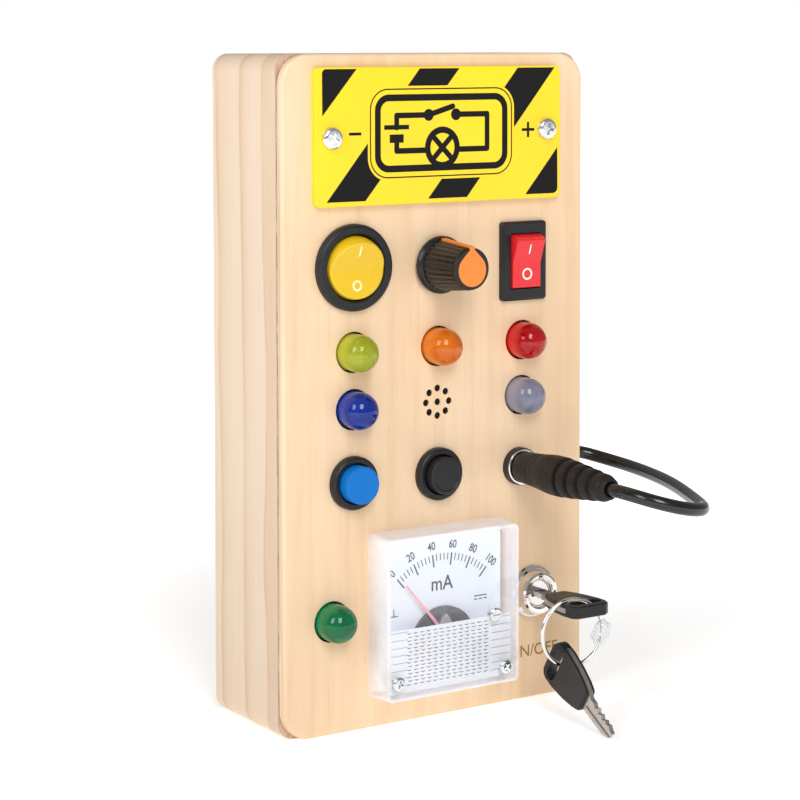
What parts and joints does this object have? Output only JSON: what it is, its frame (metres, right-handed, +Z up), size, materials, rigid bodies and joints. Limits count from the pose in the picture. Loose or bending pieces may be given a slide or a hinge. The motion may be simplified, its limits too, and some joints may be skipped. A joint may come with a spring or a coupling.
{
  "type": "wooden busy board",
  "caption": "Free-standing wooden activity box with rocker switches, rotary knob, push buttons, dome lamps, plug and socket, panel meter and key lock on its front.",
  "frame": {"origin": "centre of the flat underside of the wooden box", "axes": "+Z up, +X to the right seen from the front, the front panel faces -Y"},
  "size_m": [0.118, 0.098, 0.18],
  "materials": {
    "pine": "sanded clear-lacquered softwood",
    "plywood": "sanded thin board",
    "sign_yellow": "matt sheet with printed bars",
    "screw_steel": "bright plated",
    "black_plastic": "moulded satin black",
    "yellow_plastic": "moulded semi-gloss yellow",
    "red_plastic": "moulded semi-gloss red",
    "blue_plastic": "moulded semi-gloss blue",
    "knob_black": "moulded satin black",
    "orange_plastic": "moulded orange",
    "lens_yellow_green": "tinted translucent resin",
    "lens_orange": "tinted translucent resin",
    "lens_red": "tinted translucent resin",
    "lens_blue": "tinted translucent resin",
    "lens_grey": "clear-grey translucent resin",
    "lens_green": "tinted translucent resin",
    "clear_plastic": "clear moulded acrylic",
    "dial_white": "printed white sheet",
    "needle_red": "red enamel",
    "dark_metal": "dark coated metal",
    "nickel": "bright nickel plating",
    "steel": "plain steel",
    "brass": "plain brass",
    "rubber_black": "soft satin black",
    "cord_black": "glossy black sheath",
    "circuit_board": "green laminate",
    "cell_wrap": "plain wrapped cell",
    "grey_plastic": "moulded dark grey",
    "tag_clear": "clear soft plastic"
  },
  "bodies": {
    "board": {"box_body": "pine", "front_panel": "plywood", "back_panel": "plywood", "back_panel_screws": "screw_steel", "battery_holder": "black_plastic", "batteries": "cell_wrap", "battery_contacts": "steel", "sign_plate": "sign_yellow", "sign_screws": "screw_steel", "yellow_switch_housing": "black_plastic", "red_switch_housing": "black_plastic", "switch_terminals": "brass", "potentiometer_body": "steel", "led_yellow_green": "lens_yellow_green", "led_orange": "lens_orange", "led_red": "lens_red", "led_blue": "lens_blue", "led_clear": "lens_grey", "led_green": "lens_green", "led_holders": "black_plastic", "led_leads": "steel", "led_board": "circuit_board", "speaker": "black_plastic", "blue_button_housing": "black_plastic", "blue_button_spring": "steel", "black_button_housing": "black_plastic", "black_button_spring": "steel", "panel_nuts": "nickel", "dc_jack_body": "black_plastic", "jack_centre_pin": "nickel", "dc_cord": "cord_black", "cord_gland": "rubber_black", "meter_case": "clear_plastic", "meter_base": "grey_plastic", "meter_dial": "dial_white", "meter_core_cover": "dark_metal", "meter_screws": "screw_steel", "meter_studs": "brass", "lock_housing": "nickel", "lock_switch_block": "black_plastic"},
    "yellow_rocker": {"yellow_rocker": "yellow_plastic"},
    "red_rocker": {"red_rocker": "red_plastic"},
    "knob": {"control_knob": "knob_black", "knob_cap": "orange_plastic", "potentiometer_shaft": "steel"},
    "blue_button": {"blue_button_cap": "blue_plastic"},
    "black_button": {"black_button_cap": "black_plastic"},
    "plug": {"dc_plug": "rubber_black", "plug_barrel": "nickel"},
    "needle": {"meter_needle": "needle_red"},
    "lock_turn": {"lock_cylinder": "nickel", "lock_cam": "steel"},
    "key": {"lock_key_bow": "black_plastic", "lock_key_blade": "steel"},
    "ring": {"key_ring": "nickel", "key_tag": "tag_clear"},
    "spare_key": {"spare_key_bow": "black_plastic", "spare_key_blade": "steel"},
    "battery_door": {"battery_door": "black_plastic", "battery_door_screw": "screw_steel"}
  },
  "joints": [
    {"name": "yellow_rocker_tilt", "type": "hinge", "parent": "board", "child": "yellow_rocker", "pos_m": [-0.0272, -0.0193, 0.1238], "axis": [-1, 0, 0], "range_deg": [0, 18]},
    {"name": "red_rocker_tilt", "type": "hinge", "parent": "board", "child": "red_rocker", "pos_m": [0.0276, -0.0196, 0.1228], "axis": [-1, 0, 0], "range_deg": [0, 20]},
    {"name": "knob_turn", "type": "hinge", "parent": "board", "child": "knob", "pos_m": [-0.0001, -0.027, 0.1232], "axis": [0, -1, 0], "range_deg": [-150, 150]},
    {"name": "blue_button_press", "type": "slide", "parent": "board", "child": "blue_button", "axis": [0, 1, 0], "range_m": [0, 0.0025], "stiffness_N_per_m": 300, "springref_m": -0.002, "deforming": ["blue_button_spring"]},
    {"name": "black_button_press", "type": "slide", "parent": "board", "child": "black_button", "axis": [0, 1, 0], "range_m": [0, 0.0025], "stiffness_N_per_m": 300, "springref_m": -0.002, "deforming": ["black_button_spring"]},
    {"name": "plug_pull", "type": "slide", "parent": "board", "child": "plug", "axis": [0, -1, 0], "range_m": [0, 0.01], "deforming": ["dc_cord"]},
    {"name": "needle_swing", "type": "hinge", "parent": "board", "child": "needle", "pos_m": [-0.0003, -0.0228, 0.0231], "axis": [0, 1, 0], "range_deg": [0, 83], "stiffness_Nm_per_rad": 0.00002, "springref_deg": -11.46},
    {"name": "lock_turn", "type": "hinge", "parent": "board", "child": "lock_turn", "pos_m": [0.0313, -0.019, 0.0301], "axis": [0, -1, 0], "range_deg": [0, 90]},
    {"name": "key_pull", "type": "slide", "parent": "lock_turn", "child": "key", "axis": [0, -1, 0], "range_m": [0, 0.01]},
    {"name": "ring_swing", "type": "hinge", "parent": "key", "child": "ring", "pos_m": [0.0313, -0.043, 0.0301], "axis": [0, -1, 0], "range_deg": [-90, 0]},
    {"name": "spare_key_swing", "type": "hinge", "parent": "ring", "child": "spare_key", "pos_m": [0.0245, -0.041, 0.0153], "axis": [-1, 0, 0], "range_deg": [0, 50]},
    {"name": "battery_door_lift", "type": "slide", "parent": "board", "child": "battery_door", "axis": [0, 1, 0], "range_m": [0, 0.012]}
  ],
  "couplings": [
    {"joint": "ring_swing", "follows": "lock_turn", "ratio": -1}
  ]
}
